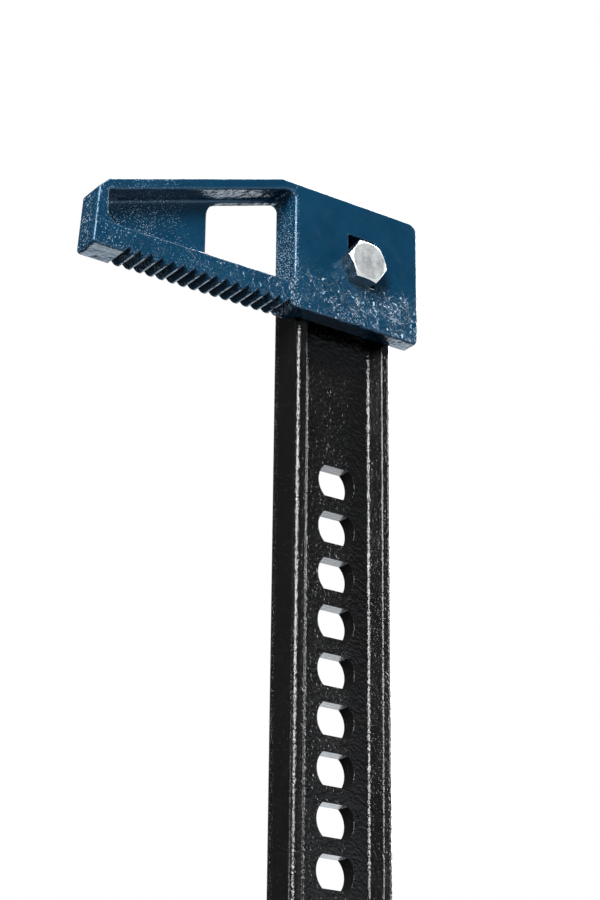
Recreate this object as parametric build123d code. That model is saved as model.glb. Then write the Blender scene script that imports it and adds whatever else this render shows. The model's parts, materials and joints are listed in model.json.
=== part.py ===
"""High-lift toe jack: a tall I-section bar on a foot plate, with a toothed top clamp bolted to its upper
end and a pair of climbing runners, worked by a long handle, near its foot.

Millimetres.  +Z is up and z = 0 is the underside of the foot plate.  The bar stands on the Z axis, its
web lies in the XZ plane, the lifting nose and the clamp's jaw point to -X and the handle hangs on +X.
"""
import os
from math import ceil, cos, radians, sin, sqrt

from build123d import *

# ---------------------------------------------------------------- driving dimensions
# standard bar, a rolled I section
BAR_DEPTH = 51.0          # along X
BAR_WIDTH = 19.5          # along Y, across the flanges
BAR_LENGTH = 1212.0
WEB_THICK = 7.0
FLANGE_TIP = 5.2          # flange thickness at its edges
FLANGE_ROOT = 9.2         # flange thickness where it meets the web
BAR_CORNER = 3.0
FLANGE_EDGE_ROUND = 1.2
WEB_FILLET = 2.5
HOLE_WIDTH = 18.8         # double-D holes: round ends along X ...
HOLE_HEIGHT = 14.0        # ... flat top and bottom
HOLE_PITCH = 21.1
FIRST_HOLE_DROP = 98.6    # from the clamp bolt down to the first hole
LAST_HOLE_MARGIN = 95.0   # no hole nearer than this to the bar's foot

# clamp bolt, M12 hexagon head
BOLT_DIA = 12.0
BOLT_FLATS = 18.0
BOLT_HEAD = 7.5
BOLT_NUT = 10.8
BOLT_WASHER = (24.0, 2.5)  # outer diameter, thickness
BOLT_CLEAR = 1.0          # bolt hole's diameter beyond the bolt's
BOLT_OFFSET = 1.2         # bolt axis behind the bar's axis
BOLT_TURN = 55.3          # degrees, how the head happens to stand
BOLT_DROP = 24.0          # bolt axis below the bar's top end
BOLT_END = 4.5            # thread left proud of the nut
THREAD_CHAMFER = 1.2
HEX_CHAMFER = (0.06, 0.105)  # along the axis and across it, as parts of the flats

# top clamp
CHEEK_THICK = 8.5
CLAMP_GAP = 0.3           # between a cheek and the bar
CLAMP_ROOF = 6.8          # over the bar's end
CLAMP_BOTTOM = 29.1       # below the bolt axis
CHEEK_OVERHANG = 8.3      # near cheek behind the bar
CLAMP_BACK_ROUND = 5.0    # upper corner behind the bar
CLAMP_FOOT_ROUND = 2.4    # lower corner behind the bar
TIP_ROUND = 1.8           # outline corners of the jaw's end
CAP_GAP = 0.6             # bar's end to the cap
JAW_LENGTH = 107.8        # from the bar's front to the foot of the jaw's end face
JAW_THICK = 15.0          # along Y
JAW_SLOPE = 0.333         # fall of the jaw's top edge towards its end
SHOULDER_LENGTH = 14.9    # level part of the top edge in front of the bar
TIP_LEAN = 1.8            # lean of the jaw's end face
TIP_CHAMFER = 5.4
TOP_RAIL = 5.6            # jaw's upper rail, measured upright
BOTTOM_RAIL = 11.6        # jaw's lower rail
POST = 7.9                # jaw's post between the window and the bar
TIP_WALL = 5.8            # wall between the pocket and the jaw's end face
TIP_WALL_TILT = 0.6       # the wall is this much thinner at mid height
POCKET_WEB = 3.2          # thin web at the pocket's far side
WINDOW_LENGTH = 38.8      # opening through the web
WINDOW_LIP = 1.6          # lip left under the upper rail
POCKET_ROUND = 3.6        # pocket's corners in outline ...
POCKET_LOW_ROUND = 6.0    # ... and the lower one at the jaw's end
POCKET_DRAW = 1.5         # round where its walls meet the web
WINDOW_ROUND = 3.0        # window's corners in outline ...
WINDOW_HIGH_ROUND = 9.0   # ... and the upper one at the jaw's end
TOOTH_PITCH = 5.34
TOOTH_DEPTH = 2.6
TOOTH_LAND = 0.8
TOOTH_ROOT = 0.4          # flat at the bottom of a groove
TOOTH_ROW = 85.5          # length of the toothed stretch
JAW_PAD = 14.4            # plain pad between the jaw's end and the teeth
CAST_ROUND = 1.2          # round on the casting's near edges
FAR_ROUND = 2.2           # jaw's far edges
JAW_ROOT_ROUND = 5.0      # jaw's far corner against the bar
BOLT_SLOT = (14.3, 23.3)  # rectangular hole in the near cheek
BOLT_SLOT_SHIFT = (1.1, 3.0)
FAR_CHEEK_SETBACK = 8.5   # far cheek's front edge behind the bar's front
FAR_CHEEK_OVERHANG = 4.5  # and its back edge behind the bar's back
FAR_CHEEK_DROP = 20.0
FAR_CHEEK_ROUND = 6.0

# foot plate
PLATE_LENGTH = 178.0
PLATE_WIDTH = 124.0
PLATE_THICK = 9.0
PLATE_ROUND = 16.0
EAR_THICK = 8.0
EAR_GAP = 0.5             # between the bar and each ear
EAR_ROUND = 17.0          # ear's half width at the pin, and its height above it
EAR_FLARE = 8.0           # ear's foot beyond the socket, each way
EAR_WAIST = 4.0           # above the pin, where the flare ends
EAR_WAIST_ROUND = 6.0
EAR_FOOT_ROUND = 9.0
EAR_TOP = 18.7
FOOT_PIN_DIA = 12.0
FOOT_PIN_HEIGHT = 45.0
FOOT_PIN_CLEAR = 0.08
FOOT_GAP = 0.4            # bar's rounded foot to the socket floor
SOCKET_FLOOR = 3.0        # above the plate
SOCKET_WALL = 5.0
SOCKET_SLACK = 3.2        # bar's flanges to the socket's end walls, room to rock
SOCKET_END = 13.0         # height of the socket's end walls
FOOT_RIB = 7.0            # thickness of the plate's ribs and gussets
RIB_MARGIN = 12.0         # ribs stop this far from the plate's ends ...
GUSSET_MARGIN = 10.0      # ... and gussets from its sides
RIB_TOE = 2.5             # height of both at their outer ends
GUSSET_HEIGHT = 22.0
GUSSET_INSET = 3.5        # gussets' middle planes inside the bar's front and back
PLATE_TOP_ROUND = 2.5
EAR_EDGE_ROUND = 1.5
PIN_HEAD = (19.2, 4.2)    # diameter, thickness
PIN_HEAD_GAP = 0.3
PIN_TAIL = 9.0            # foot pin beyond the far ear
COTTER_DIA = 3.2
COTTER_CLEAR = 0.1        # radial
COTTER_INSET = 4.0        # cotter's leg beyond the far ear
COTTER_LEG = (12.0, 11.0)  # leg below and above the foot pin's axis
COTTER_RING = 8.0         # ring's mean radius

# runners
RUNNER_GAP = 0.5          # to the bar, on every side
RUNNER_WALL_X = 10.0
RUNNER_WALL_Y = 10.0
RUNNER_ROUND = 4.0
RUNNER_EDGE_ROUND = 1.6
LIFT_PARK = 230.0         # least height of the upper climbing pin as parked
RUNNERS_APART = 2.0       # least gap between the two runners
LIFT_RUNNER_UP = 48.0     # runner's extent above and below its climbing pin
LIFT_RUNNER_DOWN = 38.0
SMALL_RUNNER_HALF = 20.0
NOSE_REACH = 112.0        # tip of the lifting nose, in front of the bar's axis
NOSE_WIDTH = 38.0
NOSE_THICK = 17.0
NOSE_RIB = 12.0
NOSE_LIP = 5.0
NOSE_DROP = 8.0           # nose's flat top below the runner's upper end
NOSE_ROUND = 6.0          # its corners in plan
NOSE_LIP_TOP = 5.0        # lip's width along its top ...
NOSE_LIP_FOOT = 7.0       # ... and where it meets the flat
NOSE_TIP_SHARE = 0.6      # tip's thickness against the nose's
NOSE_TAPER = 16.0         # length over which the tip thickens
NOSE_ROOT_DROP = 8.0      # the nose's extra depth at the runner
RIB_START = 22.0          # rib's front end behind the tip
RIB_FOOT = 8.0            # rib's lower end above the runner's
RIB_SUNK = (4.0, 2.0)     # rib into the nose, at the runner and at its front end

# climbing pins, their caps, springs and cross pins
CLIMB_HOLE_GAP = 0.8      # pin to a hole's flat
CLIMB_CLEAR = 0.08        # radial, in the runner's bore
CLIMB_STROKE = 11.6
CLIMB_REST = 0.6          # tip's distance from the web when drawn back
BOSS_WALL = 4.0
BOSS_ROUND = 1.2
CHAMBER_CLEAR = 1.0       # round the collar, radial
CHAMBER_DEPTH = 32.0
COLLAR_LAP = 3.8          # collar beyond the pin, radial
COLLAR_SEAT = 0.4         # collar to the chamber's floor with the pin home
COLLAR_THICK = 3.0
TAIL_DIA = 8.8
CAP_THICK = 6.0
CAP_FLANGE = 3.0
CROSS_PIN_DIA = 4.0
CROSS_PIN_LENGTH = 26.0
CROSS_PIN_INSET = 5.0     # from the tail's end
CROSS_PIN_GAP = 0.6       # left between cross pin and cap with the climbing pin home
SPRING_WIRE = 1.6
SPRING_TURNS = 5.5
SPRING_SEAT = 0.1         # spring's ends to the cap and the collar
SPRING_INSET = 0.4        # spring inside the collar's rim
PIN_POINT = 1.5           # chamfer on a climbing pin's tip
CROSS_PIN_POINT = 0.6
CAP_CHAMFER = 1.0

# handle linkage
HUB_WALL = 8.0            # round the handle pivot
HUB_GAP = 2.0             # between the hub and the lift runner
LINK_WALL = 5.0           # round the upper link pin
PIVOT_BELOW = 20.0        # below the upper climbing pin
PIVOT_DIA = 12.0
CRANK_HALF_SWING = 35.0   # degrees; the handle swings through twice this
LINK_DIA = 10.0
LINK_SLACK = 2.1          # radial room round the pitmans' lower pin
LINK_SIDE_GAP = 0.4        # link pins' heads to the pitmans
LINK_HEAD = 3.0
LINK_HEAD_LAP = 3.4       # link pin's head beyond its shank, radial
PITMAN_THICK = 4.5
PITMAN_ROUND = 9.0
PITMAN_WAIST = 14.0
EYE_WALL = 4.0            # round the pitmans' lower eyes
LOWER_PIN_BELOW = 5.0     # below the lower climbing pin
SOCKET_WIDTH = 24.0
SIDE_GAP = 0.6            # between neighbouring links, along Y
RUNNER_EAR = 7.0
RUNNER_EAR_ROUND = 14.0
EAR_ROOT = 12.0           # ears' roots inside the runner's back
JOINT_CLEAR = 0.08        # radial, in every pivot
HANDLE_GAP = 3.8          # between the socket's tube and the lift runner
HANDLE_DIA = 32.0
HANDLE_WALL = 2.6
HANDLE_LENGTH = 630.0
HANDLE_FLOOR = 29.0       # handle's lower end above the pivot
SOCKET_BORE_CLEAR = 0.2
SOCKET_TUBE_WALL = 4.0
SOCKET_TUBE_START = 23.0  # above the pivot
SOCKET_TUBE_LENGTH = 60.0
NECK_LAP = 10.0           # neck's overlap with the tube
HANDLE_BOLT_DIA = 8.0
HANDLE_BOLT_FLATS = 13.0
HANDLE_BOLT_HEAD = 5.3
HANDLE_BOLT_NUT = 6.5
HANDLE_BOLT_ABOVE = 60.0
HANDLE_BOLT_CLEAR = 0.2   # radial
HEAD_GAP = 0.3            # bolt heads and nuts to what they clamp
PIVOT_NUT_GAP = 2.0       # slack of the pivot's nut, and the thread beyond it
PLUG_STEM = 14.0
PLUG_HEAD = (6.0, 4.0)    # height, round
CLIP_HEIGHT = 26.0
CLIP_THICK = 1.6
CLIP_ABOVE_SOCKET = 4.0   # clip's lower end above the socket's tube
CLIP_HOLD = 4.0           # how far the clip's legs lie beside the bar's back flange
CLIP_SIDE_GAP = 0.5
CLIP_BORE_CLEAR = 0.05    # radial

# reversing latch
LATCH_SETBACK = 1.5       # latch pin's axis in front of the bar's back
LATCH_ABOVE = 30.0        # above the upper climbing pin
LATCH_PIN_DIA = 8.0
LATCH_LENGTH = 46.0
LATCH_THICK = 6.0
LATCH_HEIGHT = 10.0       # arm's height
LATCH_EYE = 9.0           # radius round its pin
LATCH_KNOB = (7.0, 6.0)   # knob's radius and its stand beyond the arm
LATCH_ANGLE = 78.0        # degrees above level at rest
LATCH_GAP = 0.4
LATCH_PIN_HEAD = (13.0, 3.0)  # diameter, thickness
LATCH_PIN_WALL = 1.5      # left between the latch pin's hole and the bar passage

# ---------------------------------------------------------------- places worked out from them
FOOT_Z = PLATE_THICK + SOCKET_FLOOR + FOOT_GAP
BAR_TOP = FOOT_Z + BAR_LENGTH
BOLT_Z = BAR_TOP - BOLT_DROP
FIRST_HOLE = BOLT_Z - FIRST_HOLE_DROP
CLAMP_TOP = BOLT_DROP + CAP_GAP + CLAMP_ROOF
CLAMP_BACK = BAR_DEPTH / 2 + CHEEK_OVERHANG
JAW_REACH = BAR_DEPTH / 2 + JAW_LENGTH
SHOULDER = BAR_DEPTH / 2 + SHOULDER_LENGTH
TEETH = round(TOOTH_ROW / TOOTH_PITCH)
BOLT_HOLE = BOLT_DIA + BOLT_CLEAR
HOLES = int((FIRST_HOLE - FOOT_Z - LAST_HOLE_MARGIN) / HOLE_PITCH) + 1
FOOT_ROUND = FOOT_PIN_HEIGHT - FOOT_Z
LIFT_PIN_ROW = int((FIRST_HOLE - LIFT_PARK) / HOLE_PITCH)
LIFT_PIN_Z = FIRST_HOLE - LIFT_PIN_ROW * HOLE_PITCH
PIN_ROWS_APART = ceil((LIFT_RUNNER_DOWN + SMALL_RUNNER_HALF + RUNNERS_APART) / HOLE_PITCH)
SMALL_PIN_Z = LIFT_PIN_Z - PIN_ROWS_APART * HOLE_PITCH
RUNNER_INNER_X = BAR_DEPTH / 2 + RUNNER_GAP
RUNNER_INNER_Y = BAR_WIDTH / 2 + RUNNER_GAP
RUNNER_OUTER_X = RUNNER_INNER_X + RUNNER_WALL_X
RUNNER_OUTER_Y = RUNNER_INNER_Y + RUNNER_WALL_Y
HUB = PIVOT_DIA / 2 + HUB_WALL
PIVOT_X = RUNNER_OUTER_X + HUB_GAP + HUB
PIVOT_Z = LIFT_PIN_Z - PIVOT_BELOW
SOCKET_BORE = HANDLE_DIA / 2 + SOCKET_BORE_CLEAR
SOCKET_OUTER = SOCKET_BORE + SOCKET_TUBE_WALL
HANDLE_X = RUNNER_OUTER_X + HANDLE_GAP + SOCKET_OUTER
CRANK = HOLE_PITCH / 2 / sin(radians(CRANK_HALF_SWING))
CRANK_REACH = CRANK * cos(radians(CRANK_HALF_SWING))
UPPER_LINK = (PIVOT_X + CRANK_REACH, PIVOT_Z + HOLE_PITCH / 2)
LOWER_LINK = (UPPER_LINK[0] + (CRANK - CRANK_REACH) / 2, SMALL_PIN_Z - LOWER_PIN_BELOW)
CHEEK_INNER = BAR_WIDTH / 2 + CLAMP_GAP
CHEEK_OUTER = CHEEK_INNER + CHEEK_THICK
LATCH_X = BAR_DEPTH / 2 - LATCH_SETBACK
LATCH_Z = LIFT_PIN_Z + LATCH_ABOVE
PITMAN_INNER = SOCKET_WIDTH / 2 + SIDE_GAP
PITMAN_OUTER = PITMAN_INNER + PITMAN_THICK
LINK_SEAT = PITMAN_OUTER + LINK_SIDE_GAP
LINK_END = LINK_SEAT + LINK_HEAD
EAR_INNER = LINK_END + SIDE_GAP
EAR_OUTER = EAR_INNER + RUNNER_EAR
BOSS_END = RUNNER_OUTER_Y + CHAMBER_DEPTH
CLIMB_DIA = HOLE_HEIGHT - 2 * CLIMB_HOLE_GAP
COLLAR_DIA = CLIMB_DIA + 2 * COLLAR_LAP
CHAMBER_DIA = COLLAR_DIA + 2 * CHAMBER_CLEAR
BOSS_DIA = CHAMBER_DIA + 2 * BOSS_WALL
EAR_FACE = BAR_WIDTH / 2 + EAR_GAP + EAR_THICK
TAIL_OUT = CLIMB_STROKE + CROSS_PIN_INSET + CROSS_PIN_DIA / 2 + CROSS_PIN_GAP


# ---------------------------------------------------------------- small helpers
NEAR = 0.01               # how close counts as the same place


def rod(radius, y0, y1, x=0.0, z=0.0):
    """Round bar along Y from y0 to y1."""
    return Location((x, (y0 + y1) / 2, z), (90, 0, 0)) * Cylinder(radius, abs(y1 - y0))


def post(radius, z0, z1, x=0.0, y=0.0):
    """Round bar along Z from z0 to z1."""
    return Location((x, y, (z0 + z1) / 2)) * Cylinder(radius, z1 - z0)


def block(x0, x1, y0, y1, z0, z1):
    """Box between two corners."""
    return Location(((x0 + x1) / 2, (y0 + y1) / 2, (z0 + z1) / 2)) * Box(x1 - x0, y1 - y0, z1 - z0)


def plate_xz(face, y0, y1):
    """Solid from a sketch drawn in (X, Z), between y0 and y1."""
    return extrude(Plane((0, y1, 0), (1, 0, 0), (0, -1, 0)) * face, y1 - y0)


def polygon(points, fillets=None):
    """Closed outline through the points, with the corners named in fillets rounded."""
    shape = make_face(Polyline(*points, close=True))
    for radius, corners in (fillets or {}).items():
        spots = [Vector(*corner) for corner in corners]
        picked = [v for v in shape.vertices() if min((c - Vector(v.X, v.Y)).length for c in spots) < NEAR]
        shape = fillet(picked, radius)
    return shape


def hex_block(flats, y0, y1, x, z, turn=0.0, ends=(0, 1)):
    """Hexagonal bar along Y from y0 to y1, with its corners chamfered at the named ends."""
    places = sorted((y0, y1))
    drum = rod(flats / 2 / cos(radians(30)), *places, x, z)
    for end in ends:
        drum = chamfer(edges_at_y(drum, places[end]), flats * HEX_CHAMFER[0], flats * HEX_CHAMFER[1])
    face = RegularPolygon(flats / 2, 6, major_radius=False, rotation=turn)
    return plate_xz(Location((x, z)) * face, *places) & drum


def edges_near(shape, test):
    """Edges whose middle passes a test on (x, y, z)."""
    return ShapeList(e for e in shape.edges() if test(*tuple(e.center())))


def edges_at_y(shape, place):
    """Edges that lie in the plane y = place."""
    return edges_near(shape, lambda x, y, z: abs(y - place) < NEAR)


# ---------------------------------------------------------------- standard bar
def bar_section():
    half_d, half_w, half_t = BAR_DEPTH / 2, BAR_WIDTH / 2, WEB_THICK / 2
    quarter = [(half_d, 0), (half_d, half_w), (half_d - FLANGE_TIP, half_w), (half_d - FLANGE_ROOT, half_t)]
    upper = quarter[1:] + [(-x, y) for x, y in reversed(quarter[1:])]
    points = upper + [(-x, -y) for x, y in upper]
    corners = [(sx * half_d, sy * half_w) for sx in (1, -1) for sy in (1, -1)]
    tips = [(sx * (half_d - FLANGE_TIP), sy * half_w) for sx in (1, -1) for sy in (1, -1)]
    roots = [(sx * (half_d - FLANGE_ROOT), sy * half_t) for sx in (1, -1) for sy in (1, -1)]
    return polygon(points, {BAR_CORNER: corners, FLANGE_EDGE_ROUND: tips, WEB_FILLET: roots})


def double_d():
    """Hole outline in (X, Z): a circle cut flat at top and bottom."""
    return Circle(HOLE_WIDTH / 2) & Rectangle(HOLE_WIDTH, HOLE_HEIGHT)


def standard_bar():
    bar = extrude(Location((0, 0, FOOT_Z)) * bar_section(), BAR_LENGTH)
    drop = sqrt(FOOT_ROUND ** 2 - (BAR_DEPTH / 2) ** 2)
    foot = block(-BAR_DEPTH, BAR_DEPTH, -BAR_WIDTH, BAR_WIDTH, FOOT_Z - 1, FOOT_PIN_HEIGHT - drop)
    bar -= foot - rod(FOOT_ROUND, -BAR_WIDTH - 1, BAR_WIDTH + 1, 0, FOOT_PIN_HEIGHT)
    hole = plate_xz(double_d(), -WEB_THICK, WEB_THICK)
    bar -= [Location((0, 0, FIRST_HOLE - row * HOLE_PITCH)) * hole for row in range(HOLES)]
    bar -= rod(BOLT_HOLE / 2, -WEB_THICK, WEB_THICK, BOLT_OFFSET, BOLT_Z)
    return bar - rod(FOOT_PIN_DIA / 2 + FOOT_PIN_CLEAR, -WEB_THICK, WEB_THICK, 0, FOOT_PIN_HEIGHT)


# ---------------------------------------------------------------- top clamp
def clamp_outline():
    """Jaw and near cheek, in (X, Z) with Z from the bolt axis."""
    fall = JAW_SLOPE * (JAW_REACH - TIP_LEAN - TIP_CHAMFER - SHOULDER)
    tip_top = (-(JAW_REACH - TIP_LEAN - TIP_CHAMFER), CLAMP_TOP - fall)
    tip_side = (-(JAW_REACH - TIP_LEAN), tip_top[1] - TIP_CHAMFER)
    foot = (-JAW_REACH, -CLAMP_BOTTOM)
    back_low, back_high = (CLAMP_BACK, -CLAMP_BOTTOM), (CLAMP_BACK, CLAMP_TOP)
    shoulder = (-SHOULDER, CLAMP_TOP)
    points = [foot, back_low, back_high, shoulder, tip_top, tip_side]
    back_rounds = {CLAMP_BACK_ROUND: [back_high], CLAMP_FOOT_ROUND: [back_low]}
    return polygon(points, {**back_rounds, TIP_ROUND: [tip_top, tip_side, foot]}), tip_top


def hollow_outline(tip_top, left, lip, low_left_round, high_left_round, right_round):
    """Opening between the jaw's rails, from x = left to the post; `lip` lowers its upper side."""
    right = -(BAR_DEPTH / 2 + POST)

    def under_rail(x):
        return tip_top[1] + JAW_SLOPE * (x - tip_top[0]) - TOP_RAIL - lip

    floor = -CLAMP_BOTTOM + BOTTOM_RAIL
    low_left, high_left = (left, floor), (left, under_rail(left))
    low_right, high_right = (right, floor), (right, under_rail(right))
    rounds = {high_left_round: [high_left], right_round: [low_right, high_right]}
    rounds[low_left_round] = rounds.get(low_left_round, []) + [low_left]
    return polygon([low_left, low_right, high_right, high_left], rounds)


def tooth_grooves():
    """V grooves across the jaw's underside."""
    half = (TOOTH_PITCH - TOOTH_LAND) / 2
    root = TOOTH_ROOT / 2
    right = [(half, -1), (half, 0), (root, TOOTH_DEPTH)]
    vee = polygon(right + [(-x, z) for x, z in reversed(right)])
    groove = plate_xz(vee, -CHEEK_OUTER - 1, CHEEK_OUTER)
    first = -JAW_REACH + JAW_PAD + TOOTH_PITCH / 2
    return [Location((first + n * TOOTH_PITCH, 0, -CLAMP_BOTTOM)) * groove for n in range(TEETH)]


def jaw_and_near_cheek():
    """The casting's main plate, cut away where the bar stands, with the jaw's pocket and window."""
    outline, tip_top = clamp_outline()
    near, far_jaw = -CHEEK_OUTER, -CHEEK_OUTER + JAW_THICK
    front = -(BAR_DEPTH / 2 + CLAMP_GAP)
    body = plate_xz(outline, near, far_jaw)
    body -= block(front, CLAMP_BACK + 1, -CHEEK_INNER, far_jaw + 1, -CLAMP_BOTTOM - 1, CLAMP_TOP + 1)
    body = fillet(edges_at_y(body, far_jaw).filter_by(Axis.Z).sort_by(Axis.X)[-1], JAW_ROOT_ROUND)
    body = fillet(edges_at_y(body, far_jaw), FAR_ROUND)

    left = -(JAW_REACH - TIP_LEAN - TIP_WALL) - TIP_WALL_TILT
    web = far_jaw - POCKET_WEB
    hollow = hollow_outline(tip_top, left, 0, POCKET_LOW_ROUND, POCKET_ROUND, POCKET_ROUND)
    pocket = plate_xz(hollow, near - 1, web)
    body -= fillet(edges_at_y(pocket, web), POCKET_DRAW)
    body = fillet(edges_at_y(body, near), CAST_ROUND)
    window_left = -(BAR_DEPTH / 2 + POST + WINDOW_LENGTH)
    opening = hollow_outline(tip_top, window_left, WINDOW_LIP, WINDOW_ROUND, WINDOW_HIGH_ROUND, WINDOW_ROUND)
    return body - plate_xz(opening, web - POCKET_DRAW, far_jaw + 1)


def cap_and_far_cheek():
    """The casting's roof over the bar's end and its short far cheek."""
    front, back = FAR_CHEEK_SETBACK - BAR_DEPTH / 2, BAR_DEPTH / 2 + FAR_CHEEK_OVERHANG
    cap = block(front, back, -CHEEK_INNER - 1, CHEEK_OUTER, BOLT_DROP + CAP_GAP, CLAMP_TOP)
    cheek = block(front, back, CHEEK_INNER, CHEEK_OUTER, -FAR_CHEEK_DROP, CLAMP_TOP)
    cheek = fillet(cheek.edges().filter_by(Axis.Y).group_by(Axis.Z)[0], FAR_CHEEK_ROUND)
    roofed = cap + cheek
    roofed = fillet(edges_at_y(roofed, CHEEK_OUTER), CAST_ROUND)
    return roofed - rod(BOLT_HOLE / 2, CHEEK_INNER - 1, CHEEK_OUTER + 1, BOLT_OFFSET)


def top_clamp():
    body = jaw_and_near_cheek() - tooth_grooves()
    slot = Location(BOLT_SLOT_SHIFT) * Rectangle(*BOLT_SLOT)
    body -= Location((BOLT_OFFSET, 0, 0)) * plate_xz(slot, -CHEEK_OUTER - 1, -CHEEK_INNER + 1)
    return Location((0, 0, BOLT_Z)) * (body + cap_and_far_cheek())


def clamp_bolt():
    end = CHEEK_OUTER + BOLT_WASHER[1] + BOLT_NUT + BOLT_END
    top = -CHEEK_OUTER - BOLT_HEAD
    shank = rod(BOLT_DIA / 2, -CHEEK_OUTER - 1, end, BOLT_OFFSET, BOLT_Z)
    shank = chamfer(edges_at_y(shank, end), THREAD_CHAMFER)
    return hex_block(BOLT_FLATS, top, -CHEEK_OUTER, BOLT_OFFSET, BOLT_Z, BOLT_TURN, (0,)) + shank


def hex_nut(flats, height, bore, y0, x, z, turn=0.0):
    return hex_block(flats, y0, y0 + height, x, z, turn) - rod(bore / 2, y0 - 1, y0 + height + 1, x, z)


def washer(outer, thick, bore, y0, x, z):
    return rod(outer / 2, y0, y0 + thick, x, z) - rod(bore / 2, y0 - 1, y0 + thick + 1, x, z)


# ---------------------------------------------------------------- foot plate
def ear_outline():
    """Foot plate's ear in (X, Z): wide at the plate, round over the pin."""
    base_half = BAR_DEPTH / 2 + SOCKET_SLACK + SOCKET_WALL + EAR_FLARE
    waist_z, top_z = FOOT_PIN_HEIGHT + EAR_WAIST, FOOT_PIN_HEIGHT + EAR_ROUND
    right = [(base_half, PLATE_THICK - 1), (EAR_ROUND, waist_z), (EAR_TOP / 2, top_z)]
    left = [(-x, z) for x, z in reversed(right)]
    return polygon(right + left, {EAR_WAIST_ROUND: [right[2], left[0]], EAR_FOOT_ROUND: [right[1], left[1]]})


def base_plate():
    plate = Location((0, 0, PLATE_THICK / 2)) * Box(PLATE_LENGTH, PLATE_WIDTH, PLATE_THICK)
    plate = fillet(plate.edges().filter_by(Axis.Z), PLATE_ROUND)
    plate = fillet(plate.faces().sort_by(Axis.Z)[-1].edges(), PLATE_TOP_ROUND)
    inner = BAR_WIDTH / 2 + EAR_GAP
    spread = BAR_DEPTH / 2 + SOCKET_SLACK + SOCKET_WALL
    base_z = PLATE_THICK - 1
    ear = plate_xz(ear_outline(), inner, EAR_FACE)
    ear = fillet(edges_near(ear, lambda x, y, z: y > EAR_FACE - NEAR and z > PLATE_THICK), EAR_EDGE_ROUND)
    body = plate + ear + mirror(ear, Plane.XZ)
    body += block(-spread, spread, -inner - 1, inner + 1, base_z, PLATE_THICK + SOCKET_FLOOR)
    for side in (-1, 1):
        wall = sorted((side * (spread - SOCKET_WALL), side * spread))
        body += block(*wall, -inner - 1, inner + 1, base_z, PLATE_THICK + SOCKET_END)
        rib_x = (side * (spread - 2), side * (PLATE_LENGTH / 2 - RIB_MARGIN))
        rib = tapered(*rib_x, base_z, PLATE_THICK + SOCKET_END, PLATE_THICK + RIB_TOE)
        body += plate_xz(rib, -FOOT_RIB / 2, FOOT_RIB / 2)
        gusset_y = (side * (EAR_FACE - 2), side * (PLATE_WIDTH / 2 - GUSSET_MARGIN))
        gusset = tapered(*gusset_y, base_z, PLATE_THICK + GUSSET_HEIGHT, PLATE_THICK + RIB_TOE)
        for x in (-BAR_DEPTH / 2 + GUSSET_INSET, BAR_DEPTH / 2 - GUSSET_INSET):
            body += extrude(Plane((x - FOOT_RIB / 2, 0, 0), (0, 1, 0), (1, 0, 0)) * gusset, FOOT_RIB)
    return body - rod(FOOT_PIN_DIA / 2 + FOOT_PIN_CLEAR, -EAR_FACE - 1, EAR_FACE + 1, 0, FOOT_PIN_HEIGHT)


def tapered(near, far, low, high_near, high_far):
    """Outline of a rib that falls from its near end to its far end."""
    return polygon([(near, low), (far, low), (far, high_far), (near, high_near)])


def base_pin():
    pin = rod(FOOT_PIN_DIA / 2, -EAR_FACE - 1, EAR_FACE + PIN_TAIL, 0, FOOT_PIN_HEIGHT)
    pin = chamfer(edges_at_y(pin, EAR_FACE + PIN_TAIL), THREAD_CHAMFER)
    head_y = -EAR_FACE - PIN_HEAD_GAP
    head = rod(PIN_HEAD[0] / 2, head_y - PIN_HEAD[1], head_y, 0, FOOT_PIN_HEIGHT)
    head = fillet(edges_at_y(head, head_y - PIN_HEAD[1]), PIN_HEAD[1] / 3)
    low, high = FOOT_PIN_HEIGHT - FOOT_PIN_DIA, FOOT_PIN_HEIGHT + FOOT_PIN_DIA
    return head + pin - post(COTTER_DIA / 2 + COTTER_CLEAR, low, high, 0, EAR_FACE + COTTER_INSET)


def base_cotter():
    """Ring pin through the foot pin's far end."""
    y = EAR_FACE + COTTER_INSET
    below, above = COTTER_LEG
    leg = post(COTTER_DIA / 2, FOOT_PIN_HEIGHT - below, FOOT_PIN_HEIGHT + above, 0, y)
    centre_z = FOOT_PIN_HEIGHT + above + COTTER_RING - 1
    return leg + Location((0, y, centre_z), (90, 0, 0)) * Torus(COTTER_RING, COTTER_DIA / 2)


# ---------------------------------------------------------------- climbing pins
def pin_boss(z):
    """Round boss on the runner's near side that holds a climbing pin and its spring."""
    boss = rod(BOSS_DIA / 2, -BOSS_END, -RUNNER_INNER_Y - 1, 0, z)
    return fillet(edges_at_y(boss, -BOSS_END), BOSS_ROUND)


def pin_bores(z):
    """The climbing pin's bore and the spring chamber outside it."""
    bore = rod(CLIMB_DIA / 2 + CLIMB_CLEAR, -BOSS_END - 1, 0, 0, z)
    return bore + rod(CHAMBER_DIA / 2, -BOSS_END - 1, -RUNNER_OUTER_Y, 0, z)


def collar_y():
    """Outer and inner faces of the pin's collar when the pin is drawn back."""
    inner = -RUNNER_OUTER_Y - COLLAR_SEAT - CLIMB_STROKE
    return inner - COLLAR_THICK, inner


def climbing_pin(z):
    tip = -WEB_THICK / 2 - CLIMB_REST
    outer, inner = collar_y()
    tail_end = -BOSS_END - CAP_FLANGE - TAIL_OUT
    pin = rod(CLIMB_DIA / 2, outer, tip, 0, z)
    pin = chamfer(edges_at_y(pin, tip), PIN_POINT)
    pin += rod(COLLAR_DIA / 2, outer, inner, 0, z) + rod(TAIL_DIA / 2, tail_end, outer + 1, 0, z)
    return pin - post(CROSS_PIN_DIA / 2, z - TAIL_DIA, z + TAIL_DIA, 0, tail_end + CROSS_PIN_INSET)


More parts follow.
